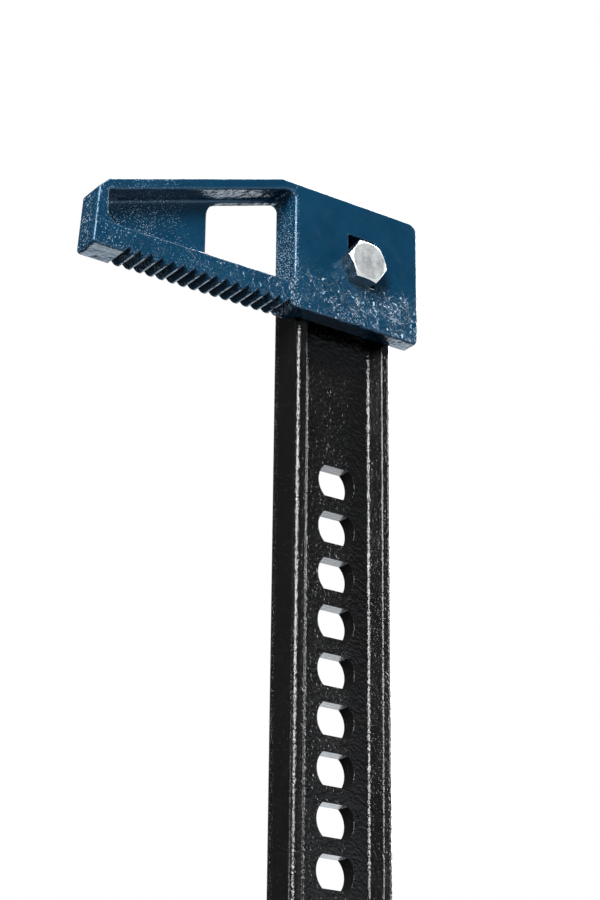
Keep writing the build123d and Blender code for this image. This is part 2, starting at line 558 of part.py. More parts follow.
def cross_pin(z):
    y = -BOSS_END - CAP_FLANGE - TAIL_OUT + CROSS_PIN_INSET
    pin = post(CROSS_PIN_DIA / 2, z - CROSS_PIN_LENGTH / 2, z + CROSS_PIN_LENGTH / 2, 0, y)
    return chamfer(pin.edges().filter_by(GeomType.CIRCLE), CROSS_PIN_POINT)


def pin_cap(z):
    """Cap pressed into the boss, with a flange and a hole for the pin's tail."""
    cap = rod(BOSS_DIA / 2, -BOSS_END - CAP_FLANGE, -BOSS_END, 0, z)
    cap += rod(CHAMBER_DIA / 2, -BOSS_END - 1, -BOSS_END + CAP_THICK - CAP_FLANGE, 0, z)
    cap = chamfer(edges_at_y(cap, -BOSS_END - CAP_FLANGE), CAP_CHAMFER)
    return cap - rod(TAIL_DIA / 2 + CLIMB_CLEAR, -BOSS_END - CAP_FLANGE - 1, -BOSS_END + CAP_THICK, 0, z)


def pin_spring(z):
    """Compression spring between the cap and the pin's collar, as it is with the pin drawn back."""
    y0 = -BOSS_END + CAP_THICK - CAP_FLANGE + SPRING_WIRE / 2 + SPRING_SEAT
    y1 = collar_y()[0] - SPRING_WIRE / 2 - SPRING_SEAT
    radius = (COLLAR_DIA - SPRING_WIRE) / 2 - SPRING_INSET
    coil = Helix((y1 - y0) / SPRING_TURNS, y1 - y0, radius)
    wire = sweep(Plane(coil @ 0, z_dir=coil % 0) * Circle(SPRING_WIRE / 2), coil)
    return Location((0, y0, z), (-90, 0, 0)) * wire


# ---------------------------------------------------------------- runners
def sleeve(z0, z1):
    outer = block(-RUNNER_OUTER_X, RUNNER_OUTER_X, -RUNNER_OUTER_Y, RUNNER_OUTER_Y, z0, z1)
    outer = fillet(outer.edges().filter_by(Axis.Z), RUNNER_ROUND)
    ends = outer.faces().sort_by(Axis.Z)
    return fillet(ends[0].edges() + ends[-1].edges(), RUNNER_EDGE_ROUND)


def bar_passage(z0, z1):
    return block(-RUNNER_INNER_X, RUNNER_INNER_X, -RUNNER_INNER_Y, RUNNER_INNER_Y, z0 - 1, z1 + 1)


def nose():
    """Lifting nose: a flat toe with a low lip at its tip, carried by a rib underneath."""
    top = LIFT_PIN_Z + LIFT_RUNNER_UP - NOSE_DROP
    root, tip = -RUNNER_OUTER_X + RUNNER_ROUND, -NOSE_REACH
    lip, under = top + NOSE_LIP, top - NOSE_THICK
    side = [(root, top), (tip + NOSE_LIP_FOOT, top), (tip + NOSE_LIP_TOP, lip), (tip, lip),
            (tip, top - NOSE_THICK * NOSE_TIP_SHARE), (tip + NOSE_TAPER, under),
            (root, under - NOSE_ROOT_DROP)]
    toe = plate_xz(polygon(side), -NOSE_WIDTH / 2, NOSE_WIDTH / 2)
    toe = fillet(toe.edges().filter_by(Axis.Z).group_by(Axis.X)[0], NOSE_ROUND)
    rib = [(root, top - RIB_SUNK[0]), (tip + RIB_START, under + RIB_SUNK[1]),
           (root, LIFT_PIN_Z - LIFT_RUNNER_DOWN + RIB_FOOT)]
    return toe + plate_xz(polygon(rib), -NOSE_RIB / 2, NOSE_RIB / 2)


def runner_ear(side):
    """One of the lift runner's ears for the handle pivot, with the pad that carries it."""
    low, high = PIVOT_Z - RUNNER_EAR_ROUND, PIVOT_Z + RUNNER_EAR_ROUND
    root = RUNNER_OUTER_X - EAR_ROOT
    outline = polygon([(root, low), (PIVOT_X, low), (PIVOT_X, high), (root, high + EAR_ROOT)])
    y0, y1 = sorted((side * EAR_INNER, side * EAR_OUTER))
    pad = sorted((side * (RUNNER_OUTER_Y - RUNNER_ROUND), side * EAR_OUTER))
    ear = plate_xz(outline, y0, y1) + rod(RUNNER_EAR_ROUND, y0, y1, PIVOT_X, PIVOT_Z)
    return ear + block(root - RUNNER_EAR, RUNNER_OUTER_X, *pad, low, high)


def lift_runner():
    z0, z1 = LIFT_PIN_Z - LIFT_RUNNER_DOWN, LIFT_PIN_Z + LIFT_RUNNER_UP
    body = sleeve(z0, z1) + pin_boss(LIFT_PIN_Z) + nose() + runner_ear(-1) + runner_ear(1)
    body -= bar_passage(z0, z1)
    body -= pin_bores(LIFT_PIN_Z)
    body -= rod(PIVOT_DIA / 2 + JOINT_CLEAR, -EAR_OUTER - 1, EAR_OUTER + 1, PIVOT_X, PIVOT_Z)
    bottom = -RUNNER_INNER_Y - LATCH_PIN_WALL
    return body - rod(LATCH_PIN_DIA / 2, -RUNNER_OUTER_Y - 1, bottom, LATCH_X, LATCH_Z)


def small_runner():
    z0, z1 = SMALL_PIN_Z - SMALL_RUNNER_HALF, SMALL_PIN_Z + SMALL_RUNNER_HALF
    x, z = LOWER_LINK
    body = sleeve(z0, z1) + pin_boss(SMALL_PIN_Z)
    half = SOCKET_WIDTH / 2
    lug = block(RUNNER_OUTER_X - RUNNER_ROUND, x, -half, half, z - PITMAN_ROUND, z + PITMAN_ROUND)
    body += lug + rod(PITMAN_ROUND, -half, half, x, z)
    body -= bar_passage(z0, z1)
    body -= pin_bores(SMALL_PIN_Z)
    return body - rod(LINK_DIA / 2, -SOCKET_WIDTH, SOCKET_WIDTH, x, z)


# ---------------------------------------------------------------- handle linkage
def handle_socket():
    """Casting that turns on the lift runner, with a crank for the pitmans and a tube for the handle."""
    half = SOCKET_WIDTH / 2
    x, z = UPPER_LINK
    tube0 = PIVOT_Z + SOCKET_TUBE_START
    tube1 = tube0 + SOCKET_TUBE_LENGTH
    tube = post(SOCKET_OUTER, tube0, tube1, HANDLE_X)
    tube = fillet(tube.edges().filter_by(GeomType.CIRCLE), SOCKET_TUBE_WALL / 3)
    hub = rod(HUB, -half, half, PIVOT_X, PIVOT_Z) + rod(LINK_DIA / 2 + LINK_WALL, -half, half, x, z)
    left, right = PIVOT_X - HUB * 0.8, HANDLE_X + SOCKET_BORE * 0.92
    neck = polygon([(left, PIVOT_Z + HUB * 0.4), (x + LINK_WALL, z + LINK_WALL), (right, tube0 + NECK_LAP),
                    (2 * HANDLE_X - right, tube0 + NECK_LAP)])
    body = hub + plate_xz(neck, -half, half) + tube
    body -= post(SOCKET_BORE, PIVOT_Z + HANDLE_FLOOR - HEAD_GAP, tube1 + 1, HANDLE_X)
    body -= rod(PIVOT_DIA / 2 + JOINT_CLEAR, -half - 1, half + 1, PIVOT_X, PIVOT_Z)
    body -= rod(LINK_DIA / 2 + JOINT_CLEAR, -half - 1, half + 1, x, z)
    end = SOCKET_OUTER + 1
    bolt_hole = rod(HANDLE_BOLT_DIA / 2 + HANDLE_BOLT_CLEAR, -end, end, HANDLE_X)
    return body - Location((0, 0, PIVOT_Z + HANDLE_BOLT_ABOVE)) * bolt_hole


def pitman(side):
    """One of the two links from the socket's crank down to the small runner."""
    y0, y1 = sorted((side * PITMAN_INNER, side * PITMAN_OUTER))
    (x, z_high), z_low = UPPER_LINK, LOWER_LINK[1]
    eye = LINK_DIA / 2 + LINK_SLACK
    strap = block(x - PITMAN_WAIST / 2, x + PITMAN_WAIST / 2, y0, y1, z_low, z_high)
    body = strap + rod(PITMAN_ROUND, y0, y1, x, z_high) + rod(eye + EYE_WALL, y0, y1, x, z_low)
    body -= rod(LINK_DIA / 2 + JOINT_CLEAR, y0 - 1, y1 + 1, x, z_high)
    return body - rod(eye, y0 - 1, y1 + 1, x, z_low)


def link_pin(x, z):
    """Headed pin through both pitmans, its far end swaged."""
    pin = rod(LINK_DIA / 2, -LINK_SEAT - 1, LINK_SEAT + 1, x, z)
    for side in (-1, 1):
        pin += rod(LINK_DIA / 2 + LINK_HEAD_LAP, *sorted((side * LINK_SEAT, side * LINK_END)), x, z)
    return pin


def pivot_bolt():
    face = EAR_OUTER + HEAD_GAP
    end = face + PIVOT_NUT_GAP + BOLT_NUT + PIVOT_NUT_GAP
    shank = rod(PIVOT_DIA / 2, -face - 1, end, PIVOT_X, PIVOT_Z)
    shank = chamfer(edges_at_y(shank, end), THREAD_CHAMFER)
    return shank + hex_block(BOLT_FLATS, -face - BOLT_HEAD, -face, PIVOT_X, PIVOT_Z, 0.0, (0,))


def handle_bolt():
    face = SOCKET_OUTER + HEAD_GAP
    z = PIVOT_Z + HANDLE_BOLT_ABOVE
    shank = rod(HANDLE_BOLT_DIA / 2, -face - 1, face + HANDLE_BOLT_NUT + 2, HANDLE_X, z)
    return shank + hex_block(HANDLE_BOLT_FLATS, -face - HANDLE_BOLT_HEAD, -face, HANDLE_X, z, 0.0, (0,))


def handle_nut():
    z = PIVOT_Z + HANDLE_BOLT_ABOVE
    return hex_nut(HANDLE_BOLT_FLATS, HANDLE_BOLT_NUT, HANDLE_BOLT_DIA, SOCKET_OUTER + HEAD_GAP, HANDLE_X, z)


def handle_tube():
    z0 = PIVOT_Z + HANDLE_FLOOR
    z1 = z0 + HANDLE_LENGTH
    tube = post(HANDLE_DIA / 2, z0, z1, HANDLE_X)
    tube -= post(HANDLE_DIA / 2 - HANDLE_WALL, z0 - 1, z1 + 1, HANDLE_X)
    bolt_hole = rod(HANDLE_BOLT_DIA / 2 + HANDLE_BOLT_CLEAR, -HANDLE_DIA, HANDLE_DIA, HANDLE_X)
    return tube - Location((0, 0, PIVOT_Z + HANDLE_BOLT_ABOVE)) * bolt_hole


def handle_plug():
    """Plastic plug that closes the handle's upper end."""
    z1 = PIVOT_Z + HANDLE_FLOOR + HANDLE_LENGTH
    height, top_round = PLUG_HEAD
    stem = post(HANDLE_DIA / 2 - HANDLE_WALL, z1 - PLUG_STEM, z1 + top_round / 2, HANDLE_X)
    head = post(HANDLE_DIA / 2, z1, z1 + height, HANDLE_X)
    return stem + fillet(head.faces().sort_by(Axis.Z)[-1].edges(), top_round)


def bar_clip():
    """Spring clip round the handle; its two legs lie beside the bar's back flange."""
    z0 = PIVOT_Z + SOCKET_TUBE_START + SOCKET_TUBE_LENGTH + CLIP_ABOVE_SOCKET
    z1 = z0 + CLIP_HEIGHT
    inner = HANDLE_DIA / 2 + CLIP_BORE_CLEAR
    leg_inner = BAR_WIDTH / 2 + CLIP_SIDE_GAP
    start = BAR_DEPTH / 2 - CLIP_HOLD
    mouth = HANDLE_X - sqrt(inner ** 2 - leg_inner ** 2)
    body = post(inner + CLIP_THICK, z0, z1, HANDLE_X)
    for side in (-1, 1):
        y0, y1 = sorted((side * leg_inner, side * (leg_inner + CLIP_THICK)))
        body += block(start, mouth + CLIP_THICK, y0, y1, z0, z1)
    body -= block(start - 1, HANDLE_X - inner / 3, -leg_inner, leg_inner, z0 - 1, z1 + 1)
    return body - post(inner, z0 - 1, z1 + 1, HANDLE_X)


# ---------------------------------------------------------------- reversing latch
def latch():
    """Flat lever on a pin at the runner's near side, with a thumb knob at its end."""
    y1 = -RUNNER_OUTER_Y - LATCH_GAP
    y0 = y1 - LATCH_THICK
    knob, stand = LATCH_KNOB
    arm = block(0, LATCH_LENGTH, y0, y1, -LATCH_HEIGHT / 2, LATCH_HEIGHT / 2) + rod(LATCH_EYE, y0, y1)
    button = rod(knob, y0 - stand, y1, LATCH_LENGTH)
    arm += fillet(edges_at_y(button, y0 - stand), stand / 3)
    arm -= rod(LATCH_PIN_DIA / 2 + JOINT_CLEAR, y0 - 1, y1 + 1)
    return Location((LATCH_X, 0, LATCH_Z), (0, -LATCH_ANGLE, 0)) * arm


def latch_pin():
    diameter, thick = LATCH_PIN_HEAD
    y0 = -RUNNER_OUTER_Y - LATCH_GAP - LATCH_THICK - LATCH_GAP
    head = rod(diameter / 2, y0 - thick, y0, LATCH_X, LATCH_Z)
    head = fillet(edges_at_y(head, y0 - thick), thick / 3)
    return head + rod(LATCH_PIN_DIA / 2, y0 - 1, -RUNNER_INNER_Y - LATCH_PIN_WALL, LATCH_X, LATCH_Z)


# ---------------------------------------------------------------- all the pieces
def pieces():
    yield "base_plate", base_plate()
    yield "base_pin", base_pin()
    yield "base_cotter", base_cotter()
    yield "standard_bar", standard_bar()
    yield "top_clamp", top_clamp()
    yield "clamp_bolt", clamp_bolt()
    yield "clamp_washer", washer(*BOLT_WASHER, BOLT_HOLE, CHEEK_OUTER, BOLT_OFFSET, BOLT_Z)
    nut_y = CHEEK_OUTER + BOLT_WASHER[1]
    yield "clamp_nut", hex_nut(BOLT_FLATS, BOLT_NUT, BOLT_DIA, nut_y, BOLT_OFFSET, BOLT_Z)
    yield "lift_runner", lift_runner()
    yield "small_runner", small_runner()
    for name, z in (("upper", LIFT_PIN_Z), ("lower", SMALL_PIN_Z)):
        yield name + "_climbing_pin", climbing_pin(z)
        yield name + "_cross_pin", cross_pin(z)
        yield name + "_pin_cap", pin_cap(z)
        yield name + "_pin_spring", pin_spring(z)
    yield "handle_socket", handle_socket()
    yield "near_pitman", pitman(-1)
    yield "far_pitman", pitman(1)
    yield "upper_link_pin", link_pin(*UPPER_LINK)
    yield "lower_link_pin", link_pin(*LOWER_LINK)
    yield "pivot_bolt", pivot_bolt()
    nut_y = EAR_OUTER + HEAD_GAP + PIVOT_NUT_GAP
    yield "pivot_nut", hex_nut(BOLT_FLATS, BOLT_NUT, PIVOT_DIA, nut_y, PIVOT_X, PIVOT_Z)
    yield "handle_bolt", handle_bolt()
    yield "handle_nut", handle_nut()
    yield "handle_tube", handle_tube()
    yield "handle_plug", handle_plug()
    yield "bar_clip", bar_clip()
    yield "reversing_latch", latch()
    yield "latch_pin", latch_pin()


os.makedirs("parts", exist_ok=True)
for node, shape in pieces():
    export_step(shape, f"parts/{node}.step")
print("holes", HOLES, "bolt height", round(BOLT_Z, 1), "upper pin height", round(LIFT_PIN_Z, 1))
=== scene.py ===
"""Looks for the high-lift toe jack: enamelled castings, a black rolled bar, bright zinc fasteners."""

import json
import math

import bpy
from mathutils import Matrix, Vector


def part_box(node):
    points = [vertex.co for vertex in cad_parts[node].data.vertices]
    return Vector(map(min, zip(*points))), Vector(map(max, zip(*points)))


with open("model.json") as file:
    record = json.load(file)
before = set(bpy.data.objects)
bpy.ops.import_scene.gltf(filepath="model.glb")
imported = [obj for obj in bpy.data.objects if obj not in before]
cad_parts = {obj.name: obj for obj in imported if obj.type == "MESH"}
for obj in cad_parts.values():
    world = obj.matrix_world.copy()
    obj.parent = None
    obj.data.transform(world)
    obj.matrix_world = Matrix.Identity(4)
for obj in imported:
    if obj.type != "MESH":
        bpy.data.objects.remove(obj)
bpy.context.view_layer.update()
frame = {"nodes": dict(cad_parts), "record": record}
nodes = frame["nodes"]
MM = 0.001

# ---------------------------------------------------------------- places read from the frame
bolt_low, bolt_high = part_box("clamp_bolt")
BOLT = (bolt_low + bolt_high) / 2
BAR_FAR_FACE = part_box("standard_bar")[1].y
CLAMP_NEAR_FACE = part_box("top_clamp")[0].y

# ---------------------------------------------------------------- the top clamp's paint
WRINKLE_RISE = (BOLT.z - 3 * MM, BOLT.z - 15 * MM)     # heights where wrinkles start and are full
WRINKLE_RUN = (-60 * MM, 0.0)                          # the same along the jaw
SPECKLED_END = (-70 * MM, -112 * MM)                   # specks towards the jaw's tip
SPECKLED_DEPTH = (CLAMP_NEAR_FACE + 3 * MM, CLAMP_NEAR_FACE + 6 * MM)
POST_FRONT = (-36.5 * MM, -34.5 * MM)                  # the band of specks on the window's post
POST_BACK = (-30.5 * MM, -32.5 * MM)
POST_RISE = (BOLT.z + 26 * MM, BOLT.z - 6 * MM)
FOOT_RISE = (BOLT.z + 2 * MM, BOLT.z - 12 * MM)        # thin specks among the wrinkles
CASTING_EDGE = 0.7 * MM                                # radius that its edges are shaded with

# ---------------------------------------------------------------- the bar's paint
CHIPPED_BAND = (BAR_FAR_FACE - 7 * MM, BAR_FAR_FACE - 3.5 * MM)
BAR_EDGE = 0.6 * MM

# ---------------------------------------------------------------- camera
YAW, PITCH, ROLL = math.radians(34.70), math.radians(22.81), math.radians(0.6)
CAMERA_FROM_BOLT = Vector((-522.2, -729.7, -459.4)) * MM
SENSOR, LENS = 36.0, 89.496

# ---------------------------------------------------------------- studio
WORLD_DARK = 0.05
WORLD_TINT = (0.90, 0.95, 1.0, 1)
FLOOR_BEHIND = ((0.52, 0.74, -0.42), 0.88, 0.97, 2.3)  # direction, where its glow starts and is full, level
FLOOR_FRONT = ((0.45, -0.75, -0.48), 0.62, 0.96, 0.95)
FLOOR_SIZE, FLOOR_DROP = 30.0, 0.2 * MM
FLOOR_FADE = (0.5, 7.0)                                # distances over which it turns white
FLOOR_GLOW = (0.66, 1.0)
TOP = Vector((-0.03, 0.0, BOLT.z - 0.08))
MIDDLE = Vector((0.0, 0.0, BOLT.z / 2))
SOFTBOXES = {                                          # direction, distance, size, power, aim
    "key_left": ((-0.66, -0.64, 0.38), 3.0, (1.3, 1.8), 170.0, TOP),
    "right_low": ((0.86, -0.32, 0.36), 3.0, (0.5, 1.3), 30.0, TOP),
    "overhead": ((0.40, 0.22, 0.90), 3.2, (2.4, 2.4), 150.0, TOP),
    "back_fill": ((0.75, 0.45, 0.50), 3.0, (1.2, 1.2), 60.0, MIDDLE),
    "back_left": ((-0.75, 0.25, 0.05), 3.0, (0.6, 1.6), 30.0, MIDDLE),
}


# ---------------------------------------------------------------- node helpers
def rgb(r, g, b):
    return (r, g, b, 1.0)


def feed(tree, socket, value):
    """Give the socket a constant, or link it to another socket."""
    if isinstance(value, bpy.types.NodeSocket):
        tree.links.new(value, socket)
    else:
        socket.default_value = value


class Shader:
    """One material's node tree, with short calls for the nodes it is built from."""

    def __init__(self, name):
        self.material = bpy.data.materials.new(name)
        self.material.use_nodes = True
        self.tree = self.material.node_tree
        self.tree.nodes.clear()
        output = self.tree.nodes.new("ShaderNodeOutputMaterial")
        self.surface = self.tree.nodes.new("ShaderNodeBsdfPrincipled")
        self.link(self.surface.outputs[0], output.inputs["Surface"])
        self.place = self.tree.nodes.new("ShaderNodeTexCoord").outputs["Object"]

    def link(self, a, b):
        self.tree.links.new(a, b)

    def set(self, socket, value):
        feed(self.tree, socket, value)

    def stretch(self, scale):
        """Coordinates scaled by three factors, for grain that runs one way."""
        node = self.tree.nodes.new("ShaderNodeMapping")
        self.link(self.place, node.inputs["Vector"])
        node.inputs["Scale"].default_value = scale
        return node.outputs[0]

    def tilted(self, scale, turn):
        """Coordinates turned about Y, then divided by three factors, for strokes that lie at a slant."""
        node = self.tree.nodes.new("ShaderNodeMapping")
        node.vector_type = "TEXTURE"
        self.link(self.place, node.inputs["Vector"])
        node.inputs["Scale"].default_value = scale
        node.inputs["Rotation"].default_value = (0.0, turn, 0.0)
        return node.outputs[0]

    def noise(self, scale, detail=3.0, rough=0.5, vector=None, distortion=0.0):
        node = self.tree.nodes.new("ShaderNodeTexNoise")
        self.link(vector or self.place, node.inputs["Vector"])
        node.inputs["Scale"].default_value = scale
        node.inputs["Detail"].default_value = detail
        node.inputs["Roughness"].default_value = rough
        node.inputs["Distortion"].default_value = distortion
        return node.outputs["Fac"]

    def math(self, operation, a, b=0.0, c=0.0):
        """Sum, product or other operation on sockets or numbers."""
        node = self.tree.nodes.new("ShaderNodeMath")
        node.operation = operation
        for socket, value in zip(node.inputs, (a, b, c)):
            self.set(socket, value)
        return node.outputs[0]

    def ramp(self, value, low, high, out_low=0.0, out_high=1.0):
        """Smooth step from `out_low` to `out_high` while the value goes from `low` to `high`."""
        node = self.tree.nodes.new("ShaderNodeMapRange")
        node.interpolation_type = "SMOOTHSTEP"
        for socket, number in zip(node.inputs, (value, low, high, out_low, out_high)):
            self.set(socket, number)
        return node.outputs[0]

    def mix(self, factor, a, b):
        node = self.tree.nodes.new("ShaderNodeMix")
        node.data_type = "RGBA"
        self.set(node.inputs["Factor"], factor)
        self.set(node.inputs[6], a)
        self.set(node.inputs[7], b)
        return node.outputs[2]

    def soft_edges(self, radius):
        """Normals that round every edge by the radius."""
        node = self.tree.nodes.new("ShaderNodeBevel")
        node.samples = 4
        node.inputs["Radius"].default_value = radius
        return node.outputs[0]

    def facing(self, index):
        """How far the surface faces along one axis, from -1 to 1."""
        node = self.tree.nodes.new("ShaderNodeSeparateXYZ")
        self.link(self.tree.nodes.new("ShaderNodeNewGeometry").outputs["Normal"], node.inputs[0])
        return node.outputs[index]

    def axis(self, index):
        """Place along one axis."""
        node = self.tree.nodes.new("ShaderNodeSeparateXYZ")
        self.link(self.place, node.inputs[0])
        return node.outputs[index]

    def bump(self, height, distance, strength=1.0, after=None):
        """Normals bent by a height, on top of those in `after`."""
        node = self.tree.nodes.new("ShaderNodeBump")
        self.set(node.inputs["Height"], height)
        self.set(node.inputs["Strength"], strength)
        node.inputs["Distance"].default_value = distance
        if after is not None:
            self.link(after, node.inputs["Normal"])
        return node.outputs[0]

    def finish(self, color, roughness, normal=None, metallic=0.0, **constants):
        """The material, with further constants set by the names of the shader's sockets."""
        surface = self.surface.inputs
        self.set(surface["Base Color"], color)
        self.set(surface["Roughness"], roughness)
        surface["Metallic"].default_value = metallic
        if normal is not None:
            self.link(normal, surface["Normal"])
        for name, value in constants.items():
            surface[name.replace("_", " ")].default_value = value
        return self.material


# ---------------------------------------------------------------- materials
def clamp_wrinkles(s):
    """Where the top clamp's paint stands in wrinkles: its lower part, in drifts, and its undersides."""
    low = s.ramp(s.axis(2), *WRINKLE_RISE)
    back = s.ramp(s.axis(0), *WRINKLE_RUN, 0.4, 1.0)
    drift = s.ramp(s.noise(75.0, 2.0), 0.34, 0.56, 0.45, 1.0)
    roof = s.ramp(s.facing(2), -0.6, -0.9, 0.07, 0.55)
    return s.math("MAXIMUM", roof, s.math("MULTIPLY", low, s.math("MULTIPLY", back, drift)))


def clamp_specks_and_painted_glints(s):
    """Where it is speckled, with specks painted pale as painted glints: the jaw's end, the post beside the
    window and, thinly, its lower part.
    """
    end = s.ramp(s.axis(0), *SPECKLED_END)
    sunk = s.ramp(s.axis(1), *SPECKLED_DEPTH, 0.6, 1.3)
    drift = s.ramp(s.noise(110.0, 2.0), 0.38, 0.6, 0.45, 1.0)
    end = s.math("MULTIPLY", s.math("MULTIPLY", end, sunk), drift)
    post_front = s.ramp(s.axis(0), *POST_FRONT)
    post_back = s.ramp(s.axis(0), *POST_BACK)
    low = s.ramp(s.axis(2), *POST_RISE, 0.45, 1.25)
    post = s.math("MULTIPLY", low, s.math("MULTIPLY", post_front, post_back))
    foot = s.math("MULTIPLY", s.ramp(s.axis(2), *FOOT_RISE, 0.0, 0.34), drift)
    return s.math("MAXIMUM", foot, s.math("MAXIMUM", end, post))


def patchy_wrinkles(s):
    """Wrinkles in patches, for the other castings."""
    return s.ramp(s.noise(40.0, 3.0, 0.6), 0.42, 0.64, 0.05, 0.6)


def patchy_specks_and_painted_glints(s):
    """Specks in patches, painted pale as painted glints, for the other castings."""
    return s.ramp(s.noise(31.0, 2.0, 0.5), 0.45, 0.6, 0.0, 0.6)


def casting_enamel(name, wrinkled, speckled):
    """Thick gloss navy enamel over a rough sand casting: soft swells, wrinkles and specks of overspray, the
    specks also painted pale as painted glints.
    """
    s = Shader(name)
    swell = s.noise(55.0, 2.0)
    wrinkle = s.noise(255.0, 2.3, 0.5, s.tilted((1.35, 1.0, 0.9), 0.75), 0.4)
    grain = s.noise(950.0, 2.0, 0.5)
    fine = s.noise(1500.0, 1.5, 0.5)
    specks = speckled(s)
    speck = s.ramp(s.math("ADD", fine, s.math("MULTIPLY", specks, 0.075)), 0.665, 0.70)
    side = s.ramp(s.math("ABSOLUTE", s.facing(2)), 0.9, 0.5, 0.45, 1.0)
    normal = s.bump(swell, 0.0022, 0.5, s.soft_edges(CASTING_EDGE))
    normal = s.bump(wrinkle, 0.0040, s.math("MULTIPLY", side, wrinkled(s)), normal)
    normal = s.bump(grain, 0.0004, 0.25, normal)
    normal = s.bump(speck, 0.0006, specks, normal)
    color = s.mix(s.ramp(swell, 0.3, 0.7), rgb(0.0022, 0.0330, 0.0740), rgb(0.0030, 0.0410, 0.0880))
    # Painted highlight: the specks are painted pale, as painted glints of light on the overspray.
    color = s.mix(s.math("MULTIPLY", speck, s.math("MINIMUM", specks, 0.9)), color, rgb(0.42, 0.54, 0.64))
    roughness = s.ramp(s.noise(160.0, 3.0), 0.3, 0.7, 0.14, 0.24)
    return s.finish(color, roughness, normal, Specular_IOR_Level=0.95, Specular_Tint=rgb(0.50, 0.76, 1.0))


def bar_enamel(name):
    """Gloss black over rolled steel: ripples along the bar, a fine pebble and a row of chipped dots."""
    s = Shader(name)
    ripple = s.noise(300.0, 3.0, 0.55, s.stretch((1.0, 1.0, 0.16)))
    pebble = s.noise(760.0, 2.0, 0.5, s.tilted((1.4, 1.0, 1.0), 0.6), 0.3)
    speck = s.ramp(s.noise(1300.0, 1.0, 0.5), 0.66, 0.74)
    edges = s.ramp(s.math("ABSOLUTE", s.facing(1)), 0.85, 0.5)
    patches = s.ramp(s.noise(90.0, 2.0), 0.3, 0.7, 0.44, 0.54)
    normal = s.bump(ripple, 0.0004, 0.25, s.soft_edges(BAR_EDGE))
    normal = s.bump(pebble, 0.00085, s.math("MULTIPLY_ADD", edges, -0.25, patches), normal)
    normal = s.bump(speck, 0.0005, s.math("MULTIPLY", edges, 0.25), normal)
    color = s.mix(s.noise(60.0, 3.0), rgb(0.0034, 0.0034, 0.0036), rgb(0.0060, 0.0060, 0.0063))
    band = s.ramp(s.axis(1), *CHIPPED_BAND, 0.0, 0.06)
    dots = s.ramp(s.math("ADD", s.noise(1450.0, 1.5, 0.5), band), 0.665, 0.71)
    color = s.mix(s.math("MULTIPLY", dots, s.math("MULTIPLY", band, 12.0)), color, rgb(0.20, 0.20, 0.21))
    roughness = s.ramp(s.noise(140.0, 3.0), 0.3, 0.7, 0.14, 0.22)
    return s.finish(color, roughness, normal)


def zinc(name):
    """Bright zinc plate, matt and cloudy on forged ends and smoother on the sides from wire drawing; the
    ends are painted light as a painted highlight and the sides darker as painted shade.
    """
    s = Shader(name)
    cloud = s.noise(330.0, 4.0, 0.6)
    grain = s.noise(2400.0, 2.0)
    end = s.ramp(s.math("ABSOLUTE", s.facing(1)), 0.45, 0.80)
    normal = s.bump(cloud, 0.00014, 0.6)
    normal = s.bump(grain, 0.00006, 0.6, normal)
    # Painted light: the ends are painted pale as a painted highlight and the sides darker as painted shade.
    pale = s.mix(cloud, rgb(0.76, 0.79, 0.80), rgb(0.92, 0.94, 0.94))
    painted_shaded_sides = s.mix(cloud, rgb(0.20, 0.23, 0.25), rgb(0.40, 0.44, 0.46))
    roughness = s.math("MULTIPLY_ADD", end, 0.20, s.ramp(cloud, 0.3, 0.7, 0.22, 0.34))
    return s.finish(s.mix(end, painted_shaded_sides, pale), roughness, normal, 1.0)


def steel(name, tone, low, high):
    """Machined steel with a fine turned grain."""
    s = Shader(name)
    grain = s.noise(1800.0, 3.0, 0.6, s.stretch((0.2, 1.0, 1.0)))
    normal = s.bump(grain, 0.00008, 0.4)
    dull, bright = rgb(tone * 0.8, tone * 0.82, tone * 0.85), rgb(tone, tone, tone * 1.02)
    color = s.mix(s.noise(120.0, 3.0), dull, bright)
    return s.finish(color, s.ramp(grain, 0.3, 0.7, low, high), normal, 1.0)


def powder_coat(name):
    """Black powder coat with its fine orange peel."""
    s = Shader(name)
    peel = s.noise(700.0, 2.0, 0.5)
    color = s.mix(s.noise(50.0, 3.0), rgb(0.009, 0.009, 0.0095), rgb(0.018, 0.018, 0.019))
    return s.finish(color, s.ramp(peel, 0.3, 0.7, 0.24, 0.36), s.bump(peel, 0.0003, 0.45))


def plastic(name):
    """Moulded black plastic."""
    s = Shader(name)
    grain = s.noise(2200.0, 2.0)
    color = s.mix(s.noise(90.0), rgb(0.012, 0.012, 0.012), rgb(0.02, 0.02, 0.02))
    return s.finish(color, 0.5, s.bump(grain, 0.0001, 0.5))


MATERIALS = {
    "casting_blue": casting_enamel("casting_blue", patchy_wrinkles, patchy_specks_and_painted_glints),
    "clamp_blue": casting_enamel("clamp_blue", clamp_wrinkles, clamp_specks_and_painted_glints),
    "bar_paint": bar_enamel("bar_paint"),
    "zinc": zinc("zinc"),
    "pin_steel": steel("pin_steel", 0.52, 0.22, 0.4),
    "spring_steel": steel("spring_steel", 0.34, 0.28, 0.45),
    "handle_black": powder_coat("handle_black"),
    "black_plastic": plastic("black_plastic"),
}


def dress_nodes():
    """Every CAD node takes the material of its slot, but the top clamp's own."""
    slots = {part["node"]: part["material_slot"] for part in frame["record"]["subparts"]}
    slots["top_clamp"] = "clamp_blue"
    for name, obj in nodes.items():
        obj.data.materials.clear()
        obj.data.materials.append(MATERIALS[slots[name]])


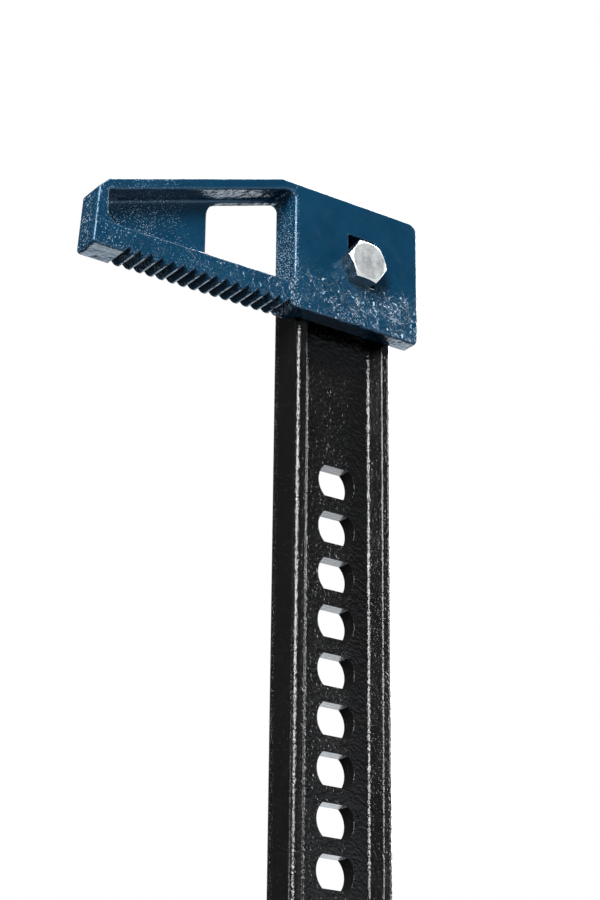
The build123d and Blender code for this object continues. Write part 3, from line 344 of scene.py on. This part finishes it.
# ---------------------------------------------------------------- camera
def add_camera():
    """Close view up at the clamp from below, on the jaw's side."""
    level = math.cos(PITCH)
    ahead = Vector((math.sin(YAW) * level, math.cos(YAW) * level, math.sin(PITCH)))
    level_right = Vector((math.cos(YAW), -math.sin(YAW), 0.0))
    level_up = level_right.cross(ahead)
    right = level_right * math.cos(ROLL) + level_up * math.sin(ROLL)
    up = level_up * math.cos(ROLL) - level_right * math.sin(ROLL)
    centre = Vector((0.0, 0.0, BOLT.z)) + CAMERA_FROM_BOLT
    data = bpy.data.cameras.new("camera")
    data.sensor_width = SENSOR
    data.lens = LENS
    data.clip_start = 0.05
    camera = bpy.data.objects.new("camera", data)
    turn = Matrix((right, up, -ahead)).transposed().to_4x4()
    camera.matrix_world = Matrix.Translation(centre) @ turn
    bpy.context.scene.collection.objects.link(camera)
    bpy.context.scene.camera = camera


# ---------------------------------------------------------------- light and floor
def add_softbox(name, towards, distance, size, power, aim):
    """Rectangular light in the direction `towards` from the point it is aimed at."""
    data = bpy.data.lights.new(name, "AREA")
    data.shape = "RECTANGLE"
    data.size, data.size_y = size
    data.energy = power
    light = bpy.data.objects.new(name, data)
    offset = Vector(towards).normalized() * distance
    light.location = aim + offset
    light.rotation_euler = (-offset).to_track_quat("-Z", "Y").to_euler()
    bpy.context.scene.collection.objects.link(light)


def add_world():
    """White to the camera; to the surfaces, a dark studio whose pale floor glows behind and in front."""
    world = bpy.data.worlds.new("studio")
    bpy.context.scene.world = world
    world.use_nodes = True
    tree = world.node_tree
    tree.nodes.clear()

    def add(kind):
        return tree.nodes.new("ShaderNode" + kind)

    def glow(towards, low, high, strength):
        """Level that rises from 0 to `strength` as a ray turns towards `towards`."""
        facing = add("VectorMath")
        facing.operation = "DOT_PRODUCT"
        tree.links.new(add("TexCoord").outputs["Generated"], facing.inputs[0])
        facing.inputs[1].default_value = Vector(towards).normalized()
        node = add("MapRange")
        node.interpolation_type = "SMOOTHSTEP"
        tree.links.new(facing.outputs["Value"], node.inputs[0])
        for socket, number in zip(list(node.inputs)[1:5], (low, high, 0.0, strength)):
            socket.default_value = number
        return node.outputs[0]

    def total(a, b):
        node = add("Math")
        for socket, value in zip(node.inputs, (a, b)):
            feed(tree, socket, value)
        return node.outputs[0]

    level = total(total(glow(*FLOOR_BEHIND), WORLD_DARK), glow(*FLOOR_FRONT))
    lit = add("Background")
    lit.inputs["Color"].default_value = WORLD_TINT
    tree.links.new(level, lit.inputs["Strength"])
    seen = add("Background")
    seen.inputs["Color"].default_value = rgb(1, 1, 1)
    mix = add("MixShader")
    tree.links.new(add("LightPath").outputs["Is Camera Ray"], mix.inputs[0])
    tree.links.new(lit.outputs[0], mix.inputs[1])
    tree.links.new(seen.outputs[0], mix.inputs[2])
    tree.links.new(mix.outputs[0], add("OutputWorld").inputs[0])


def add_floor():
    """Plain pale floor under the foot plate, which fades to white far away."""
    bpy.ops.mesh.primitive_plane_add(size=FLOOR_SIZE, location=(0, 0, -FLOOR_DROP))
    floor = bpy.context.object
    floor.name = "floor"
    s = Shader("floor")
    tone = s.mix(s.noise(3.0), rgb(0.46, 0.46, 0.46), rgb(0.50, 0.50, 0.50))
    length = s.tree.nodes.new("ShaderNodeVectorMath")
    length.operation = "LENGTH"
    s.link(s.place, length.inputs[0])
    s.link(s.ramp(length.outputs["Value"], *FLOOR_FADE, *FLOOR_GLOW), s.surface.inputs["Emission Strength"])
    floor.data.materials.append(s.finish(tone, 0.8, Emission_Color=rgb(1, 1, 1)))
    floor.visible_glossy = False
    floor.visible_diffuse = False


dress_nodes()
add_camera()
add_world()
add_floor()
for name, light in SOFTBOXES.items():
    add_softbox(name, *light)
bpy.context.scene.view_settings.view_transform = "Standard"
